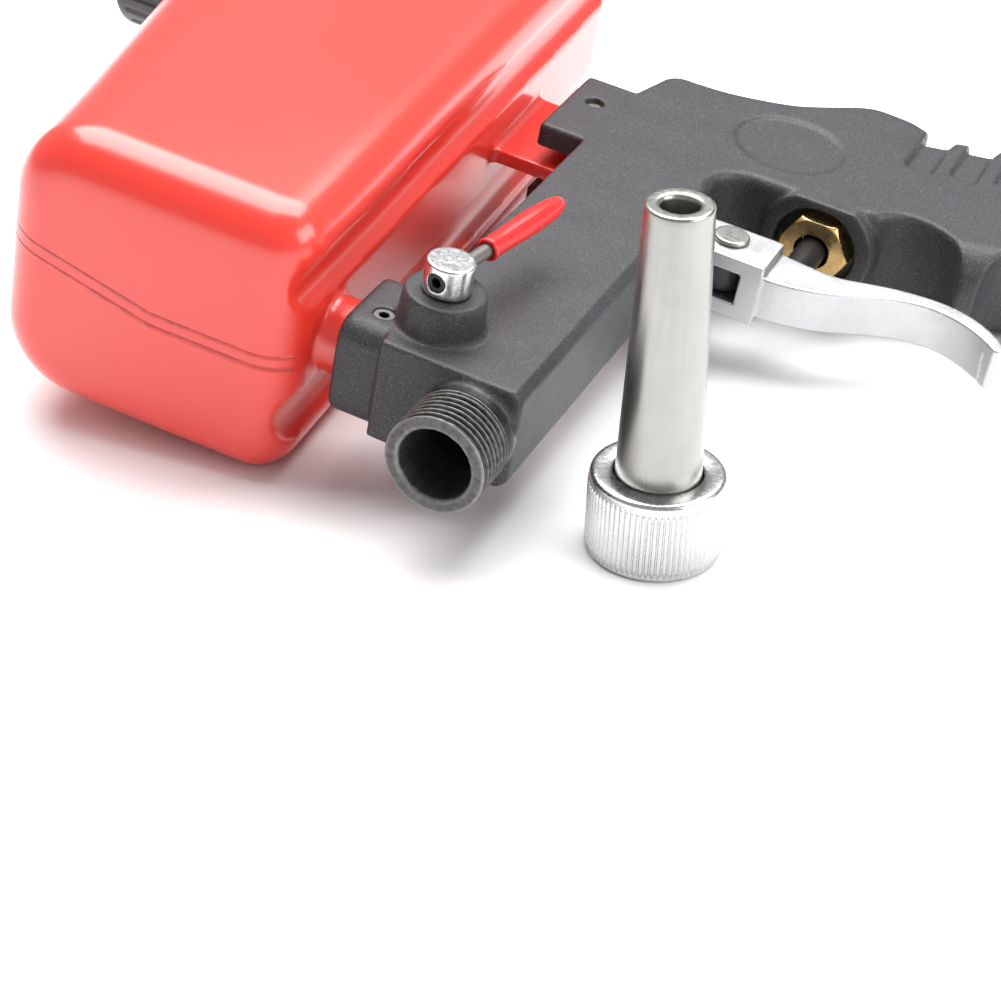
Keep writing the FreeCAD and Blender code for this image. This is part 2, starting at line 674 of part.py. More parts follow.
# ---- air valve -----------------------------------------------------------------------------------
def on_stem(y):
    return V(STEM_X, y, 0)


def valve_nut():
    """Brass gland nut that guides and seals the valve's stem."""
    hex_length = NUT_HEX_END_Y - NUT_FACE_Y
    head = hexagon(NUT_FLATS, hex_length, on_stem(NUT_FACE_Y), "y")
    corner_r = NUT_FLATS / math.sqrt(3)
    bevel = cone(NUT_FLATS / 2 + 0.2, corner_r + 3.0, hex_length, on_stem(NUT_FACE_Y), "y")
    shank = cylinder(NUT_SHANK_R - 0.02, NUT_SHANK_END_Y - NUT_HEX_END_Y, on_stem(NUT_HEX_END_Y), "y")
    return head.common(bevel).fuse(shank).cut([
        cylinder(STEM_R + RUN, 20, on_stem(NUT_FACE_Y - 1), "y"),
        cylinder(STEM_R + 0.7, 6.0, on_stem(NUT_FACE_Y - 1), "y"),
        cylinder(STEM_R + 1.8, 2.0, on_stem(127.0), "y"),
    ])


def stem_o_ring():
    return torus(STEM_R + 0.9, 0.87, on_stem(128.0), "y")


def valve_stem():
    """Stem with a domed tip, a waist for the air and the disc that closes on the seat."""
    waist_y = NUT_SHANK_END_Y - 0.5
    disc_y = SEAT_FRONT_Y + SEAT_LENGTH + 0.02
    guide_y = disc_y + DISC_LENGTH
    stem = fused([
        cylinder(STEM_R, waist_y - STEM_TIP_Y, on_stem(STEM_TIP_Y), "y"),
        cylinder(STEM_WAIST_R, guide_y + SPRING_GUIDE - waist_y, on_stem(waist_y), "y"),
        cylinder(DISC_R, DISC_LENGTH, on_stem(disc_y), "y"),
    ])
    past_dome = cylinder(STEM_R + 1, 60, on_stem(STEM_TIP_Y + 2), "y")
    dome = Part.makeSphere(STEM_TIP_R, on_stem(STEM_TIP_Y + STEM_TIP_R)).fuse(past_dome)
    return stem.common(dome)


def valve_seat():
    return ring(CHAMBER_R - 0.02, STEM_WAIST_R + 1.0, SEAT_LENGTH, on_stem(SEAT_FRONT_Y), "y")


def valve_spring():
    """Closing spring, drawn at its rest length against the disc."""
    start_y = SEAT_FRONT_Y + SEAT_LENGTH + DISC_LENGTH + SPRING_WIRE_R + 0.05
    path = Part.makeHelix(SPRING_PITCH, SPRING_LENGTH, SPRING_R)
    circle = Part.makeCircle(SPRING_WIRE_R, V(SPRING_R, 0, 0), V(0, 1, 0))
    coil = Part.Wire(path.Edges).makePipeShell([Part.Wire([circle])], True, True)
    coil.Placement = FreeCAD.Placement(on_stem(start_y), FreeCAD.Rotation(V(0, 0, 1), AXIS["y"]))
    return coil


# ---- trigger -------------------------------------------------------------------------------------
def trigger():
    """Forked cast lever with a long curved blade."""
    top = 2 * FORK_HALF_Z
    eye = cylinder(FORK_R, top, V(PIVOT_X, PIVOT_Y, -FORK_HALF_Z))
    eye = eye.common(box((0, PIVOT_X + 1), (FORK_FRONT_Y, FORK_REAR_Y), (-20, 20)))
    root = box((PIVOT_X, FORK_END_X), (FORK_FRONT_Y, FORK_REAR_Y), (-FORK_HALF_Z, FORK_HALF_Z))
    slot = box((0, FORK_SLOT_END_X), (80, 120), (-FORK_GAP_HALF_Z, FORK_GAP_HALF_Z))
    hole = cylinder(PIVOT_R + RUN, 40, V(PIVOT_X, PIVOT_Y, -20))
    front = [(27, 94.5), (35, 95.2), (44, 98.8), (54, 104.8), (62, 107.0), (70, 105.2), (77.2, 100.0)]
    rear = [(27, 106.9), (34, 105.9), (41, 105.6), (48, 107.8), (56, 110.2), (63, 110.8), (71, 108.8)]
    rear.append((78.7, 102.4))
    outline = [curve(front), curve(rear)] + lines([front[0], rear[0]])
    outline.append(arc(front[-1], (78.7, 100.6), rear[-1]))
    blade = prism(outline, LEVER_HALF_Z)
    return fused([eye, root, blade]).cut([slot, hole])


def trigger_pin():
    """Headed pin fixed in the body's tongue."""
    head_z = FORK_HALF_Z + 0.05
    pin = cylinder(PIVOT_R - 0.01, head_z - PIN_END_Z, V(PIVOT_X, PIVOT_Y, PIN_END_Z))
    head = cylinder(PIN_HEAD_R, PIN_HEAD, V(PIVOT_X, PIVOT_Y, head_z))
    head = rounded(head, 0.5, lambda edge: middle(edge).z > head_z + 0.9)
    groove = ring(PIVOT_R + 1, PIVOT_R - 0.5, PIN_CLIP, V(PIVOT_X, PIVOT_Y, -FORK_HALF_Z - 0.1 - PIN_CLIP))
    return pin.fuse(head).cut(groove)


def pin_clip():
    at = V(PIVOT_X, PIVOT_Y, -FORK_HALF_Z - 0.05 - PIN_CLIP)
    clip = ring(PIN_CLIP_R, PIVOT_R - 0.45, PIN_CLIP - 0.1, at)
    return clip.cut(box((PIVOT_X - 1.2, PIVOT_X + 1.2), (PIVOT_Y - 10, PIVOT_Y), (-20, 0)))


def inlet_fitting():
    """Hexagon nipple screwed into the grip's end for the air hose."""
    end = on_grip(GRIP_LENGTH, 0)
    inner = cylinder(INLET_R - 0.02, INLET_SOCKET, end - GRIP_AXIS * (INLET_SOCKET - 0.5), GRIP_AXIS)
    flats = hexagon(INLET_FLATS, INLET_HEX, end + GRIP_AXIS * 0.02, GRIP_AXIS)
    outer = cylinder(INLET_R, INLET_LENGTH, end + GRIP_AXIS * INLET_HEX, GRIP_AXIS)
    bore = cylinder(AIR_HOLE_R, 60, end - GRIP_AXIS * 30, GRIP_AXIS)
    return fused([inner, flats, outer]).cut(bore)


# ---- nozzle, upright on the bench ----------------------------------------------------------------
def on_nozzle(height):
    return V(NOZZLE_X, NOZZLE_Y, BENCH_Z + height)


FLANGE_FOOT = NUT_HEIGHT - NUT_TOP_WALL - FLANGE_HEIGHT
THREAD_BORE = FLANGE_FOOT - SEAL_HEIGHT    # length of thread that is free for the muzzle


def nozzle_nut():
    """Knurled nut, bored for the tube at the top and for the muzzle's thread below."""
    nut = cylinder(NUT_R, NUT_HEIGHT, on_nozzle(0))
    nut = nut.makeFillet(0.6, [edge for edge in nut.Edges if edge.Closed])
    cutters = [
        cylinder(TUBE_NUT_R + EASY, 40, on_nozzle(1)),
        cylinder(THREAD_R - THREAD_DEPTH, NUT_HEIGHT - NUT_TOP_WALL + 1, on_nozzle(-1)),
        cylinder(SEAL_POCKET_R, NUT_HEIGHT - NUT_TOP_WALL - THREAD_BORE, on_nozzle(THREAD_BORE)),
    ]
    for k in range(KNURL_COUNT):
        angle = 360.0 * k / KNURL_COUNT
        tooth = Part.makeBox(1.0, 1.0, KNURL_END - KNURL_START, V(-0.5, -0.5, KNURL_START))
        tooth.rotate(V(0, 0, 0), AXIS["z"], 45)
        tooth.translate(V(NUT_R + 0.70 - KNURL_DEPTH, 0, 0))
        tooth.rotate(V(0, 0, 0), AXIS["z"], angle)
        tooth.translate(on_nozzle(0))
        cutters.append(tooth)
    return nut.cut(cutters)


def nozzle_tube():
    """Tapered tube with the flange that the nut pulls against the muzzle."""
    taper_start = NUT_HEIGHT - 0.5
    tube = fused([
        cylinder(FLANGE_R - 0.2, FLANGE_HEIGHT - 0.05, on_nozzle(FLANGE_FOOT)),
        cylinder(TUBE_NUT_R, taper_start - FLANGE_FOOT, on_nozzle(FLANGE_FOOT)),
        cone(TUBE_NUT_R, TUBE_TOP_R, TUBE_HEIGHT - taper_start, on_nozzle(taper_start)),
    ])
    tube = rounded(tube, 0.5, lambda edge: middle(edge).z > BENCH_Z + TUBE_HEIGHT - 0.01)
    return tube.cut(cylinder(TUBE_BORE_R, 100, on_nozzle(0)))


def nozzle_seal():
    return ring(FLANGE_R - 0.2, TUBE_BORE_R + 1.5, SEAL_HEIGHT, on_nozzle(THREAD_BORE))


# ---- write every piece in the shared frame -------------------------------------------------------
GUN_PIECES = [
    gun_body, trigger, trigger_pin, pin_clip, valve_nut, valve_stem, stem_o_ring, valve_seat, valve_spring,
    inlet_fitting, air_jet, jet_o_ring, feed_spindle, spindle_o_ring, spindle_clip, valve_knob,
    knob_grub_screw, lever_rod, lever_sleeve, hopper, hopper_cap, cap_seal, neck_grub_screw, lug_screw,
]
NOZZLE_PIECES = [nozzle_tube, nozzle_nut, nozzle_seal]

os.makedirs("parts", exist_ok=True)
for piece in GUN_PIECES + NOZZLE_PIECES:
    shape = piece()
    if piece in GUN_PIECES:
        shape.rotate(V(0, 0, 0), AXIS["y"], TILT)
    shape.exportStep(f"parts/{piece.__name__}.step")
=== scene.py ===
import json
import math

import bmesh
import bpy
from mathutils import Matrix, Vector, noise

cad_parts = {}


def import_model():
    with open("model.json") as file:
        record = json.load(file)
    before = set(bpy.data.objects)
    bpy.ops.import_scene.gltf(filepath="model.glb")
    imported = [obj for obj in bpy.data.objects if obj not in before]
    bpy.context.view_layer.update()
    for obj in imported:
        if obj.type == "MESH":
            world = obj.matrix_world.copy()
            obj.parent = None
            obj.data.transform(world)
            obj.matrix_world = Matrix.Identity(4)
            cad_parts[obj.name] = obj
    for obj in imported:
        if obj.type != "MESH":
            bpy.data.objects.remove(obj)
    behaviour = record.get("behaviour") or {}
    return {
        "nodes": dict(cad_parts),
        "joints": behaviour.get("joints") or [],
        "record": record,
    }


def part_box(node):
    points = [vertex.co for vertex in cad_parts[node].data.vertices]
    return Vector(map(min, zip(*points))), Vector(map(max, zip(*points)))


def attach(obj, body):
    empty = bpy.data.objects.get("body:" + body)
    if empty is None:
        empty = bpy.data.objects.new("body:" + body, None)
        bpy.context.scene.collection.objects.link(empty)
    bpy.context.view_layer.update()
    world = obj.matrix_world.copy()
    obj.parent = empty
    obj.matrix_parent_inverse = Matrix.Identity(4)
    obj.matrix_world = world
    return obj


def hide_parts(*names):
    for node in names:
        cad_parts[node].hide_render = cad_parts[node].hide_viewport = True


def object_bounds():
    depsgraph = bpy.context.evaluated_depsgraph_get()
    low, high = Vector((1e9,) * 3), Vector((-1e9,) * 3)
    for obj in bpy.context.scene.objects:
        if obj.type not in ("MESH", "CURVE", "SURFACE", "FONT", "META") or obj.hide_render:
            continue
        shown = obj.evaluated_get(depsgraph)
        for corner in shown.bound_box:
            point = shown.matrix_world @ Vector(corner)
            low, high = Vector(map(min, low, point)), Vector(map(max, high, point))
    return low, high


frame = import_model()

CAD_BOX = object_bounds()
MM = 0.001

# Hand-held blasting gun lying on its side beside its nozzle.  The gun's own frame is the shared frame
# tipped about the barrel's axis: x to the grip, y back along the barrel, z out of the side that faces up.

# ---- the gun's frame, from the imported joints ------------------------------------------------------
JOINTS = {joint["name"]: joint for joint in frame["joints"]}
GUN_UP = Vector(JOINTS["trigger_pull"]["axis"]).normalized()
GUN_Y = Vector((0, 1, 0))
GUN_X = GUN_Y.cross(GUN_UP).normalized()
GUN_TO_WORLD = Matrix((GUN_X, GUN_Y, GUN_UP)).transposed()
WORLD_TO_GUN = GUN_TO_WORLD.transposed()

# ---- the hopper's parting seam, in millimetres of the gun's frame; its bump is in metres ----------
SEAM_Z = -1.7
SEAM_BEND_X = -65.0
SEAM_CLIMB = 0.2
SEAM_END_Y = 16.0
SEAM_HALF_GAP = 1.3
UPPER_RIDGE_HALF_WIDTH = 0.45
LOWER_RIDGE_HALF_WIDTH = 0.55
# How far the seam's ridges are darkened: painted shade along the parting seam.
SEAM_PAINTED_SHADE = 0.18
SEAM_BUMP = 0.0006


# ---- node helpers ---------------------------------------------------------------------------------
class Nodes:
    """Short-hand for building one material's node tree."""

    def __init__(self, name):
        self.material = bpy.data.materials.new(name)
        self.material.use_nodes = True
        self.tree = self.material.node_tree
        self.shader = self.tree.nodes["Principled BSDF"]
        self.place = self.add("ShaderNodeNewGeometry").outputs["Position"]

    def add(self, kind, **settings):
        node = self.tree.nodes.new(kind)
        for key, value in settings.items():
            setattr(node, key, value)
        return node

    def feed(self, socket, value):
        """Links an output to a socket, or writes a plain value into it."""
        if hasattr(value, "is_output"):
            self.tree.links.new(value, socket)
        else:
            socket.default_value = value

    def set(self, **inputs):
        """Feeds the shader's inputs, named with underscores for spaces."""
        for key, value in inputs.items():
            self.feed(self.shader.inputs[key.replace("_", " ")], value)

    def noise(self, scale, detail=3.0, rough=0.5, vector=None):
        node = self.add("ShaderNodeTexNoise")
        self.feed(node.inputs["Vector"], vector or self.place)
        self.feed(node.inputs["Scale"], scale)
        self.feed(node.inputs["Detail"], detail)
        self.feed(node.inputs["Roughness"], rough)
        return node.outputs["Fac"]

    def cells(self, scale):
        """Distance to the nearest of the points scattered through space."""
        node = self.add("ShaderNodeTexVoronoi")
        self.feed(node.inputs["Vector"], self.place)
        self.feed(node.inputs["Scale"], scale)
        return node.outputs["Distance"]

    def math(self, operation, a, b=0.0):
        node = self.add("ShaderNodeMath", operation=operation)
        self.feed(node.inputs[0], a)
        self.feed(node.inputs[1], b)
        return node.outputs[0]

    def remap(self, value, low, high, to_low=0.0, to_high=1.0):
        """Takes the range low..high to to_low..to_high, and holds what lies outside at its ends."""
        node = self.add("ShaderNodeMapRange")
        for key, number in zip((1, 2, 3, 4), (low, high, to_low, to_high)):
            node.inputs[key].default_value = number
        self.feed(node.inputs[0], value)
        return node.outputs[0]

    def mix(self, fac, a, b):
        """Colour a where fac is 0, colour b where it is 1."""
        node = self.add("ShaderNodeMix", data_type="RGBA")
        self.feed(node.inputs["Factor"], fac)
        self.feed(node.inputs["A"], (*a, 1.0) if isinstance(a, tuple) else a)
        self.feed(node.inputs["B"], (*b, 1.0) if isinstance(b, tuple) else b)
        return node.outputs["Result"]

    def bump(self, height, distance, strength=1.0, after=None):
        node = self.add("ShaderNodeBump")
        self.feed(node.inputs["Height"], height)
        node.inputs["Distance"].default_value = distance
        node.inputs["Strength"].default_value = strength
        if after is not None:
            self.feed(node.inputs["Normal"], after)
        return node.outputs["Normal"]

    def stretched(self, x, y, z):
        """Position scaled along the shared frame's axes; marks run along an axis with a small scale."""
        node = self.add("ShaderNodeMapping", vector_type="POINT")
        node.inputs["Scale"].default_value = (x, y, z)
        self.feed(node.inputs["Vector"], self.place)
        return node.outputs["Vector"]

    def edges(self, low, high):
        """0 where the surface's pointiness is below low, 1 on convex edges where it is above high."""
        pointiness = self.add("ShaderNodeNewGeometry").outputs["Pointiness"]
        return self.remap(pointiness, low, high)

    def gun_axes(self):
        """The point's x, y and z in the gun's frame, in millimetres."""
        sockets = []
        for axis in (GUN_X, GUN_Y, GUN_UP):
            node = self.add("ShaderNodeVectorMath", operation="DOT_PRODUCT")
            self.feed(node.inputs[0], self.place)
            node.inputs[1].default_value = axis / MM
            sockets.append(node.outputs["Value"])
        return sockets

    def seam_height(self, axes):
        """Height above the hopper's parting line, which climbs beyond its bend."""
        climb = self.math("MAXIMUM", self.math("SUBTRACT", SEAM_BEND_X, axes[0]), 0.0)
        level = self.math("ADD", self.math("MULTIPLY", climb, SEAM_CLIMB), SEAM_Z)
        return self.math("SUBTRACT", axes[2], level)

    def ridge(self, height, offset, half_width):
        """1 on a line at the given height, falling to 0 over its half width."""
        away = self.math("ABSOLUTE", self.math("SUBTRACT", height, offset))
        return self.remap(away, 0.0, half_width, 1.0, 0.0)


# ---- materials ------------------------------------------------------------------------------------
# Noise scales are cells per metre, and bump distances are metres.
def cast_paint():
    """Dark grey textured paint with pale flecks, on a die casting."""
    m = Nodes("cast_paint")
    grain = m.noise(2600, detail=4, rough=0.65)
    orange_peel = m.noise(700, detail=2)
    fleck = m.remap(m.noise(3600, detail=1), 0.60, 0.72)
    tone = m.mix(m.noise(90, detail=4, rough=0.6), (0.024, 0.025, 0.028), (0.037, 0.038, 0.042))
    color = m.mix(m.math("MULTIPLY", fleck, 0.40), tone, (0.26, 0.26, 0.27))
    m.set(Base_Color=color, Metallic=0.0, Specular_IOR_Level=0.42)
    m.set(Roughness=m.remap(grain, 0.3, 0.7, 0.38, 0.54))
    fine = m.bump(grain, distance=0.00007, strength=0.9)
    m.set(Normal=m.bump(orange_peel, distance=0.00010, strength=0.5, after=fine))
    return m.material


def bare_casting():
    """Worn bare metal of the machined nose, dark with grime away from its edges."""
    m = Nodes("bare_casting")
    grime = m.noise(380, detail=5, rough=0.7)
    color = m.mix(m.remap(grime, 0.35, 0.7), (0.008, 0.008, 0.008), (0.060, 0.058, 0.055))
    rubbed = m.mix(m.edges(0.5, 0.57), color, (0.30, 0.295, 0.285))
    m.set(Base_Color=rubbed, Metallic=0.75, Roughness=m.remap(grime, 0.3, 0.7, 0.62, 0.40))
    m.set(Normal=m.bump(m.noise(1900, detail=4, rough=0.7), distance=0.00012, strength=0.7))
    return m.material


def moulded_red():
    """Glossy blow-moulded plastic, with the parting seam as two fine ridges along the front face; the ridges
    are also darkened in colour as painted shade.
    """
    m = Nodes("red_plastic")
    axes = m.gun_axes()
    height = m.seam_height(axes)
    upper = m.ridge(height, SEAM_HALF_GAP, UPPER_RIDGE_HALF_WIDTH)
    lower = m.ridge(height, -SEAM_HALF_GAP, LOWER_RIDGE_HALF_WIDTH)
    front_only = m.math("LESS_THAN", axes[1], SEAM_END_Y)
    front_ridges = m.math("MULTIPLY", m.math("MAXIMUM", upper, lower), front_only)
    ragged = m.remap(m.noise(420, detail=3, rough=0.6), 0.42, 0.56)
    ragged_height = m.math("ADD", m.math("MULTIPLY", ragged, 0.5), 0.5)
    seam = m.math("MULTIPLY", front_ridges, ragged_height)
    skin = m.mix(m.noise(14, detail=2), (0.78, 0.036, 0.022), (0.82, 0.043, 0.028))
    # Darkens the red on the seam's ridges: painted shade along the ridges, on top of their bump.
    m.set(Base_Color=m.mix(m.math("MULTIPLY", seam, SEAM_PAINTED_SHADE), skin, (0.42, 0.006, 0.004)))
    m.set(Specular_IOR_Level=0.5, Roughness=m.remap(m.noise(40, detail=2), 0.0, 1.0, 0.26, 0.34))
    m.set(Coat_Weight=0.7, Coat_Roughness=0.20)
    peel = m.bump(m.noise(700, detail=2), distance=0.00002, strength=0.4)
    m.set(Normal=m.bump(seam, distance=SEAM_BUMP, after=peel))
    return m.material


def dipped_red():
    """Soft vinyl dip with faint runs."""
    m = Nodes("red_dip")
    runs = m.noise(260, detail=2, vector=m.stretched(1.0, 0.25, 1.0))
    m.set(Base_Color=m.mix(runs, (0.66, 0.014, 0.014), (0.74, 0.022, 0.020)))
    m.set(Specular_IOR_Level=0.55, Roughness=m.remap(m.noise(300, detail=2), 0.3, 0.7, 0.26, 0.36))
    m.set(Normal=m.bump(runs, distance=0.00008, strength=0.5))
    return m.material


def metal(name, dark, light, rough, stretch=(1, 1, 1), bump=0.00003):
    """Machined or plated metal; stretch draws its marks out along an axis."""
    m = Nodes(name)
    marks = m.noise(900, detail=4, rough=0.65, vector=m.stretched(*stretch))
    stain = m.noise(110, detail=4, rough=0.6)
    m.set(Base_Color=m.mix(m.remap(stain, 0.3, 0.7), dark, light), Metallic=1.0)
    m.set(Roughness=m.remap(marks, 0.3, 0.7, rough - 0.05, rough + 0.08))
    m.set(Normal=m.bump(marks, distance=bump, strength=0.6))
    return m.material


def tumbled_casting():
    """Bare aluminium casting with small pits and rubbed high spots."""
    m = Nodes("cast_aluminium")
    pits = m.remap(m.cells(900), 0.0, 0.35)
    grain = m.noise(1400, detail=4, rough=0.65)
    tone = m.mix(m.noise(70, detail=3, rough=0.6), (0.40, 0.40, 0.41), (0.54, 0.54, 0.55))
    m.set(Base_Color=m.mix(m.edges(0.50, 0.60), tone, (0.66, 0.66, 0.67)), Metallic=1.0)
    m.set(Roughness=m.remap(grain, 0.3, 0.7, 0.34, 0.50))
    fine = m.bump(grain, distance=0.00005, strength=0.6)
    m.set(Normal=m.bump(pits, distance=0.00005, strength=0.35, after=fine))
    return m.material


def blackened():
    """Black oxide on small steel pieces, rubbed through on the edges."""
    m = Nodes("black_steel")
    marks = m.noise(1500, detail=3, rough=0.6)
    m.set(Base_Color=m.mix(m.edges(0.53, 0.60), (0.022, 0.022, 0.023), (0.16, 0.155, 0.15)))
    m.set(Metallic=0.5, Roughness=m.remap(marks, 0.3, 0.7, 0.34, 0.50))
    m.set(Normal=m.bump(marks, distance=0.00003, strength=0.5))
    return m.material


def dull_black(name, tone, rough):
    """Moulded rubber or matt plastic."""
    m = Nodes(name)
    grain = m.noise(1700, detail=3, rough=0.6)
    m.set(Base_Color=m.mix(m.noise(120), (tone, tone, tone), (tone * 1.7, tone * 1.7, tone * 1.7)))
    m.set(Roughness=m.remap(grain, 0.3, 0.7, rough - 0.06, rough + 0.08))
    m.set(Normal=m.bump(grain, distance=0.00004, strength=0.6))
    return m.material


DRAWN_UPWARDS = (1, 1, 0.04)

MATERIALS = {
    "cast_paint": cast_paint(),
    "bare_casting": bare_casting(),
    "red_plastic": moulded_red(),
    "red_dip": dipped_red(),
    "cast_aluminium": tumbled_casting(),
    "zinc_steel": metal(
        "zinc_steel", (0.35, 0.35, 0.33), (0.39, 0.39, 0.365),
        rough=0.30, stretch=DRAWN_UPWARDS, bump=0.00004),
    "knurled_aluminium": metal(
        "knurled_aluminium", (0.54, 0.54, 0.55), (0.64, 0.64, 0.65), rough=0.24),
    "brass": metal("brass", (0.50, 0.32, 0.12), (0.72, 0.52, 0.25), rough=0.28),
    "black_steel": blackened(),
    "rubber": dull_black("rubber", tone=0.018, rough=0.62),
    "black_plastic": dull_black("black_plastic", tone=0.014, rough=0.38),
}

SLOTS = {part["node"]: part["material_slot"] for part in frame["record"]["subparts"]}


def dress(obj, material):
    obj.data.materials.clear()
    obj.data.materials.append(MATERIALS[material])


for name, obj in frame["nodes"].items():
    dress(obj, SLOTS[name])


# ---- mesh helpers ---------------------------------------------------------------------------------
WELD_DISTANCE = 1e-6


def piece(name, mesh, material, body, replaced):
    """Puts a mesh drawn in the gun's frame in the scene, riding a body, in place of a CAD node."""
    mesh.transform(GUN_TO_WORLD.to_4x4())
    for polygon in mesh.polygons:
        polygon.use_smooth = True
    obj = bpy.data.objects.new(name, mesh)
    bpy.context.scene.collection.objects.link(obj)
    dress(obj, material)
    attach(obj, body)
    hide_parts(replaced)


def baked(mesh, *modifiers):
    """The mesh after a row of modifiers, each given as (type, settings)."""
    obj = bpy.data.objects.new("work", mesh)
    bpy.context.scene.collection.objects.link(obj)
    for kind, settings in modifiers:
        modifier = obj.modifiers.new(kind, kind)
        for key, value in settings.items():
            setattr(modifier, key, value)
    seen = obj.evaluated_get(bpy.context.evaluated_depsgraph_get())
    result = bpy.data.meshes.new_from_object(seen)
    bpy.data.objects.remove(obj)
    return result


def joined_copy(node):
    """A CAD node's mesh in the gun's frame, with its split corners joined again."""
    mesh = frame["nodes"][node].data.copy()
    mesh.transform(WORLD_TO_GUN.to_4x4())
    bm = bmesh.new()
    bm.from_mesh(mesh)
    bmesh.ops.remove_doubles(bm, verts=bm.verts, dist=WELD_DISTANCE)
    return bm


def finished(bm, name):
    """The mesh of a drawn shape, with every face turned outwards."""
    mesh = bpy.data.meshes.new(name)
    bmesh.ops.recalc_face_normals(bm, faces=bm.faces)
    bm.to_mesh(mesh)
    bm.free()
    return mesh


def softened(bm, name, voxel, passes):
    """The shape with every edge worn round; the voxel is in millimetres."""
    return baked(
        finished(bm, name),
        ("REMESH", {"mode": "VOXEL", "voxel_size": voxel * MM, "use_smooth_shade": True}),
        ("SMOOTH", {"factor": 0.5, "iterations": passes}),
    )


def worn(mesh, scale, amount):
    """Gives a surface the slight waviness of a casting; the amount is in millimetres."""
    outward = [vertex.normal.copy() for vertex in mesh.vertices]
    for vertex, normal in zip(mesh.vertices, outward):
        vertex.co += normal * (noise.noise(vertex.co * scale) * amount * MM)


def turned(radius_at, heights, segments, centre, along):
    """Closed ring of quads round an axis, all in millimetres, from an outline that runs back to its start.

    radius_at(i, angle) is the radius at the i-th of the heights, which are measured along the axis."""
    along = Vector(along).normalized()
    side = along.orthogonal().normalized()
    front = along.cross(side)
    bm = bmesh.new()
    rings = []
    for i, height in enumerate(heights):
        ring = []
        for k in range(segments):
            angle = 2 * math.pi * k / segments
            out = math.cos(angle) * side + math.sin(angle) * front
            ring.append(bm.verts.new((Vector(centre) + along * height + out * radius_at(i, angle)) * MM))
        rings.append(ring)
    rings.append(rings[0])
    for low, high in zip(rings, rings[1:]):
        for k in range(segments):
            after = (k + 1) % segments
            bm.faces.new((low[k], low[after], high[after], high[k]))
    return bm


# ---- gun body: the casting and its threaded nose, which starts at y = 0 ---------------------------
NOSE_CUT_Y = 13.4
NOSE_BACK_Y = 15.2
THREAD_PITCH = 1.5
THREAD_OUTSIDE_R = 10.0
THREAD_DEPTH = 0.85
THREAD_LENGTH = 10.5
THREAD_START = 0.3
THREAD_STEP = 0.095
THREAD_STEPS = 110
RUN_IN = 1.2
RUN_OUT = 0.8
CREST_WEAR = 0.12
CREST_SHAPE = 0.7
RELIEF_R = 9.5
MUZZLE_BORE_R = 7.15
DENT_DEPTH = 0.08
DENT_SPREAD = 3
MUZZLE_SEGMENTS = 160


def casting():
    """The die casting, without its threaded nose."""
    bm = joined_copy("gun_body")
    bmesh.ops.bisect_plane(
        bm,
        geom=bm.verts[:] + bm.edges[:] + bm.faces[:],
        plane_co=(0, NOSE_CUT_Y * MM, 0),
        plane_no=(0, -1, 0),
        clear_outer=True,
    )
    bmesh.ops.bridge_loops(bm, edges=[edge for edge in bm.edges if edge.is_boundary])
    mesh = softened(bm, "casting", voxel=0.5, passes=4)
    worn(mesh, scale=120, amount=0.10)
    piece("casting", mesh, "cast_paint", "gun", "gun_body")


def thread_radius(y, angle):
    """Radius of a helical thread whose crests are rounded off and which fades out at both ends."""
    turn = (y / THREAD_PITCH - angle / (2 * math.pi)) % 1.0
    crest = 0.5 - 0.5 * math.cos(2 * math.pi * turn)
    start = min(1.0, max(0.0, (y - THREAD_START) / RUN_IN))
    end = min(1.0, max(0.0, (THREAD_LENGTH - y) / RUN_OUT))
    return THREAD_OUTSIDE_R - CREST_WEAR - THREAD_DEPTH * (1.0 - crest ** CREST_SHAPE) * start * end


def muzzle():
    """Threaded nose with a battered rim and a plain ring behind the thread."""
    outline = [(THREAD_START + step * THREAD_STEP, "thread") for step in range(THREAD_STEPS)]
    outline += [(y, RELIEF_R) for y in (10.9, 12.0, 13.0, 14.4, NOSE_BACK_Y)]
    outline += [(y, MUZZLE_BORE_R) for y in (NOSE_BACK_Y, 8.0, 0.9)]
    outline += [(0.35, MUZZLE_BORE_R + 0.12), (0.05, MUZZLE_BORE_R + 0.45)]
    outline += [(0.0, 8.2), (0.0, 9.2), (0.08, THREAD_OUTSIDE_R - 0.45)]

    def radius_at(i, angle):
        y, radius = outline[i]
        if radius == "thread":
            return thread_radius(y, angle)
        dent = noise.noise((DENT_SPREAD * math.cos(angle), DENT_SPREAD * math.sin(angle), y))
        return radius + DENT_DEPTH * dent

    heights = [y for y, radius in outline]
    bm = turned(radius_at, heights, MUZZLE_SEGMENTS, centre=(0, 0, 0), along=(0, 1, 0))
    mesh = finished(bm, "muzzle")
    worn(mesh, scale=900, amount=0.07)
    piece("muzzle_thread", mesh, "bare_casting", "gun", "gun_body")


# ---- hopper and cap -------------------------------------------------------------------------------
def hopper():
    """Blow-moulded bottle, very slightly uneven."""
    mesh = softened(joined_copy("hopper"), "hopper", voxel=0.8, passes=4)
    worn(mesh, scale=22, amount=0.5)
    piece("hopper_shell", mesh, "red_plastic", "gun", "hopper")


def cap():
    mesh = softened(joined_copy("hopper_cap"), "cap", voxel=0.4, passes=2)
    piece("filler_cap", mesh, "black_plastic", "cap", "hopper_cap")


# ---- trigger and the small hardware ---------------------------------------------------------------
def trigger():
    mesh = softened(joined_copy("trigger"), "trigger", voxel=0.28, passes=4)
    worn(mesh, scale=140, amount=0.12)
    piece("trigger_casting", mesh, "cast_aluminium", "trigger_lever", "trigger")


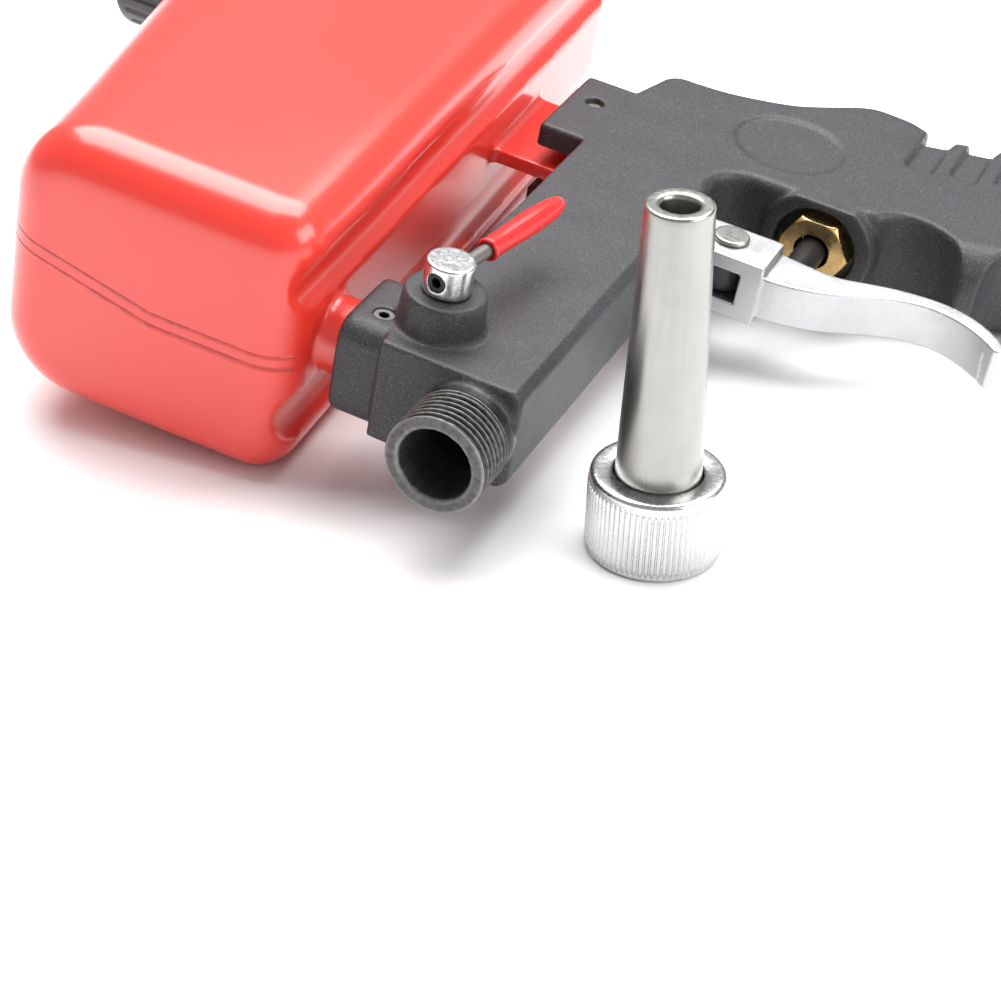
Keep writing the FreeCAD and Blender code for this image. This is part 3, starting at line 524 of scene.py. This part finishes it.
def small_pieces():
    """Knob, gland nut, screws, pin, stem and air inlet, each with its edges broken."""
    bright = {"valve_knob": "knurled_aluminium"}
    for node, name, body, voxel in (
        ("valve_knob", "knob", "feed_valve", 0.16),
        ("knob_grub_screw", "knob_screw", "feed_valve", 0.12),
        ("valve_nut", "gland_nut", "gun", 0.2),
        ("trigger_pin", "pivot_pin", "gun", 0.2),
        ("valve_stem", "stem", "air_valve", 0.2),
        ("lug_screw", "hopper_screw", "gun", 0.16),
        ("inlet_fitting", "air_inlet", "gun", 0.3),
    ):
        mesh = softened(joined_copy(node), name, voxel, passes=2)
        piece(name, mesh, bright.get(node, SLOTS[node]), body, node)


# ---- lever sleeve ---------------------------------------------------------------------------------
SLEEVE_SEGMENTS = 64
FOLD_DEPTH = 0.035
FOLD_DRIFT = 0.3
SLEEVE_BORE_R = 1.42
SLEEVE_CENTRE_R = 0.05


def gun_centre(node):
    """Middle of a CAD node in the gun's frame, in millimetres."""
    low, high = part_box(node)
    return WORLD_TO_GUN @ (Vector(low) + Vector(high)) / (2 * MM)


def lever_sleeve():
    """Vinyl sleeve with a rolled mouth, a slight belly and a pulled-out tip.

    Its outline is (radius, distance from the hinge), from the mouth over the outside to the tip and back
    along the bore."""
    hinge = WORLD_TO_GUN @ Vector(JOINTS["feed_lever"]["pos_m"]) / MM
    rod = gun_centre("lever_rod")
    rolled_mouth = [(1.45, 12.9), (1.7, 12.6), (2.1, 12.6), (2.32, 12.9), (2.34, 13.4), (2.2, 14.2)]
    belly = [(2.22, 18.0), (2.38, 23.0), (2.45, 28.0), (2.35, 32.0)]
    tip = [(2.15, 35.0), (1.85, 37.2), (1.4, 38.5), (0.85, 39.1), (0.3, 39.3), (SLEEVE_CENTRE_R, 39.3)]
    bore_end = [(SLEEVE_CENTRE_R, 33.05), (SLEEVE_BORE_R, 33.0)]
    outline = rolled_mouth + belly + tip + bore_end

    def radius_at(i, angle):
        radius, distance = outline[i]
        fold = noise.noise((math.cos(angle), math.sin(angle), FOLD_DRIFT * distance))
        return radius * (1.0 + FOLD_DEPTH * fold)

    distances = [distance for radius, distance in outline]
    lever = (rod.x - hinge.x, rod.y - hinge.y, 0)
    bm = turned(radius_at, distances, SLEEVE_SEGMENTS, centre=(hinge.x, hinge.y, rod.z), along=lever)
    piece("lever_sleeve", finished(bm, "lever_sleeve"), "red_dip", "feed_valve", "lever_sleeve")


# ---- nozzle: heights are above the nut's foot, in millimetres -------------------------------------
RIBS = 72
RIB_R = 12.95
RIB_DEPTH = 0.42
RIB_SHAPE = 0.6
RIB_FOOT = 1.35
RIB_STEP = 1.085
RIB_STEPS = 13
NUT_SEGMENTS = RIBS * 10
NUT_TOP = 16.7
NUT_OPENING_R = 8.4
NUT_POCKET_R = 9.8
NUT_CREST_R = 9.3
NUT_ROOT_R = 9.9
NUT_GROOVES = 6

TUBE_BORE_R = 3.5
FLANGE_R = 9.1
TUBE_FOOT_R = 8.2
TUBE_TAPER = 1.9
TAPER_FOOT = 13.6
TAPER_TOP = 70.7
TAPER_STEPS = 40
TUBE_TOP = 71.3
TUBE_SEGMENTS = 128


def nozzle_axis():
    """Middle of the nut's foot in the shared frame, in millimetres."""
    low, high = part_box("nozzle_nut")
    return (low[0] + high[0]) / 2 / MM, (low[1] + high[1]) / 2 / MM, low[2] / MM


def upright_piece(name, outline, radius_at, segments, material, body, replaced):
    """A piece turned about the nozzle's axis, taken to the gun's frame so that piece() can bring it back."""
    heights = [height for radius, height in outline]
    mesh = finished(turned(radius_at, heights, segments, nozzle_axis(), along=(0, 0, 1)), name)
    mesh.transform(WORLD_TO_GUN.to_4x4())
    piece(name, mesh, material, body, replaced)


def knurled_nut():
    """Ring nut with a ribbed grip between two plain rims; rings stand in for its inside thread."""
    foot = [(12.0, 0.0), (12.55, 0.25), (12.75, 0.8), (12.62, 1.1)]
    grip = [(RIB_R, RIB_FOOT + step * RIB_STEP) for step in range(RIB_STEPS)]
    shoulder = [(12.6, 14.75), (12.7, 15.0), (12.72, 15.8), (12.5, 16.35), (12.05, 16.65), (11.5, NUT_TOP)]
    opening = [(8.75, NUT_TOP), (8.45, 16.45), (NUT_OPENING_R, 15.9), (NUT_OPENING_R, 13.6)]
    pocket = [(NUT_POCKET_R, 13.5), (NUT_POCKET_R, 9.7)]
    inside_thread = []
    for groove in range(NUT_GROOVES):
        lowered = THREAD_PITCH * groove
        inside_thread += [(NUT_CREST_R, 9.5 - lowered), (NUT_ROOT_R, 8.75 - lowered)]
    mouth = [(NUT_ROOT_R, 0.6), (10.4, 0.0)]
    outline = foot + grip + shoulder + opening + pocket + inside_thread + mouth

    def radius_at(i, angle):
        radius = outline[i][0]
        if radius == RIB_R:
            rib = 0.5 + 0.5 * math.cos(RIBS * angle)
            return radius - RIB_DEPTH * (1.0 - rib ** RIB_SHAPE)
        return radius

    upright_piece(
        "knurled_nut", outline, radius_at, NUT_SEGMENTS, "knurled_aluminium", "nozzle_ring_nut", "nozzle_nut")


def blast_tube():
    """Tapered tube with a flange inside the nut and a rounded lip round its bore."""
    flange = [(TUBE_BORE_R, 11.4), (9.0, 11.3), (FLANGE_R, 11.5), (FLANGE_R, 13.2), (9.0, 13.4)]
    taper = [(TUBE_FOOT_R, 13.45)]
    for step in range(TAPER_STEPS + 1):
        part = step / TAPER_STEPS
        taper.append((TUBE_FOOT_R - TUBE_TAPER * part, TAPER_FOOT + part * (TAPER_TOP - TAPER_FOOT)))
    lip = [(6.22, 71.0), (6.0, 71.25), (5.6, TUBE_TOP), (4.5, TUBE_TOP), (3.95, 71.2), (3.62, 70.8)]
    bore = [(TUBE_BORE_R, 70.2)]
    outline = flange + taper + lip + bore

    def radius_at(i, angle):
        return outline[i][0]

    upright_piece("blast_tube", outline, radius_at, TUBE_SEGMENTS, "zinc_steel", "nozzle", "nozzle_tube")


casting()
muzzle()
hopper()
cap()
trigger()
small_pieces()
lever_sleeve()
knurled_nut()
blast_tube()


# ---- floor, light and camera, in metres -----------------------------------------------------------
FLOOR_Z = CAD_BOX[0][2]
FLOOR_REACH = 6.0
WORLD_LIGHT = 0.42

CAMERA_AZIMUTH = math.radians(22.55)
CAMERA_ELEVATION = math.radians(32.84)
CAMERA_ROLL = math.radians(2.571)
CAMERA_TARGET = Vector((-0.0033, 0.0400, -0.0314))
CAMERA_DISTANCE = 0.5373
SENSOR_WIDTH_MM = 36.0
FOCAL_LENGTH_MM = 97.98
NEAR_CLIP = 0.01


def floor():
    mesh = bpy.data.meshes.new("floor")
    corners = [(-1, -1), (1, -1), (1, 1), (-1, 1)]
    mesh.from_pydata([(x * FLOOR_REACH, y * FLOOR_REACH, FLOOR_Z) for x, y in corners], [], [(0, 1, 2, 3)])
    obj = bpy.data.objects.new("floor", mesh)
    bpy.context.scene.collection.objects.link(obj)
    m = Nodes("floor")
    m.set(Base_Color=(0.93, 0.93, 0.935, 1.0), Roughness=0.7, Specular_IOR_Level=0.1)
    obj.data.materials.append(m.material)


def softbox(name, place, aim, width, height, power):
    light = bpy.data.lights.new(name, "AREA")
    light.shape = "RECTANGLE"
    light.size = width
    light.size_y = height
    light.energy = power
    obj = bpy.data.objects.new(name, light)
    obj.location = place
    obj.rotation_euler = (Vector(aim) - Vector(place)).to_track_quat("-Z", "Y").to_euler()
    bpy.context.scene.collection.objects.link(obj)


def world():
    """Even white light all round; the camera itself sees plain white beyond the floor."""
    studio = bpy.data.worlds.new("studio")
    studio.use_nodes = True
    bpy.context.scene.world = studio
    tree = studio.node_tree
    background = tree.nodes["Background"]
    background.inputs["Color"].default_value = (1.0, 1.0, 1.0, 1.0)
    seen = tree.nodes.new("ShaderNodeLightPath").outputs["Is Camera Ray"]
    level = tree.nodes.new("ShaderNodeMapRange")
    level.inputs["To Min"].default_value = WORLD_LIGHT
    level.inputs["To Max"].default_value = 1.0
    tree.links.new(seen, level.inputs["Value"])
    tree.links.new(level.outputs["Result"], background.inputs["Strength"])


def camera():
    """Looks down at the gun from in front of the muzzle, slightly rolled."""
    ahead = Vector((
        -math.sin(CAMERA_AZIMUTH) * math.cos(CAMERA_ELEVATION),
        math.cos(CAMERA_AZIMUTH) * math.cos(CAMERA_ELEVATION),
        -math.sin(CAMERA_ELEVATION),
    ))
    level = Vector((math.cos(CAMERA_AZIMUTH), math.sin(CAMERA_AZIMUTH), 0.0))
    upright = level.cross(ahead)
    right = math.cos(CAMERA_ROLL) * level + math.sin(CAMERA_ROLL) * upright
    up = -math.sin(CAMERA_ROLL) * level + math.cos(CAMERA_ROLL) * upright
    data = bpy.data.cameras.new("camera")
    data.sensor_width = SENSOR_WIDTH_MM
    data.lens = FOCAL_LENGTH_MM
    data.clip_start = NEAR_CLIP
    obj = bpy.data.objects.new("camera", data)
    rotation = Matrix((right, up, -ahead)).transposed().to_4x4()
    obj.matrix_world = Matrix.Translation(CAMERA_TARGET - ahead * CAMERA_DISTANCE) @ rotation
    bpy.context.scene.collection.objects.link(obj)
    bpy.context.scene.camera = obj


floor()
world()
softbox("overhead", place=(-0.15, 0.40, 0.95), aim=(0.0, 0.08, 0.0), width=1.3, height=0.9, power=26.0)
softbox("side", place=(0.90, 0.05, 0.45), aim=(0.0, 0.06, 0.0), width=0.8, height=0.5, power=7.0)
bpy.context.scene.view_settings.view_transform = "Standard"
camera()
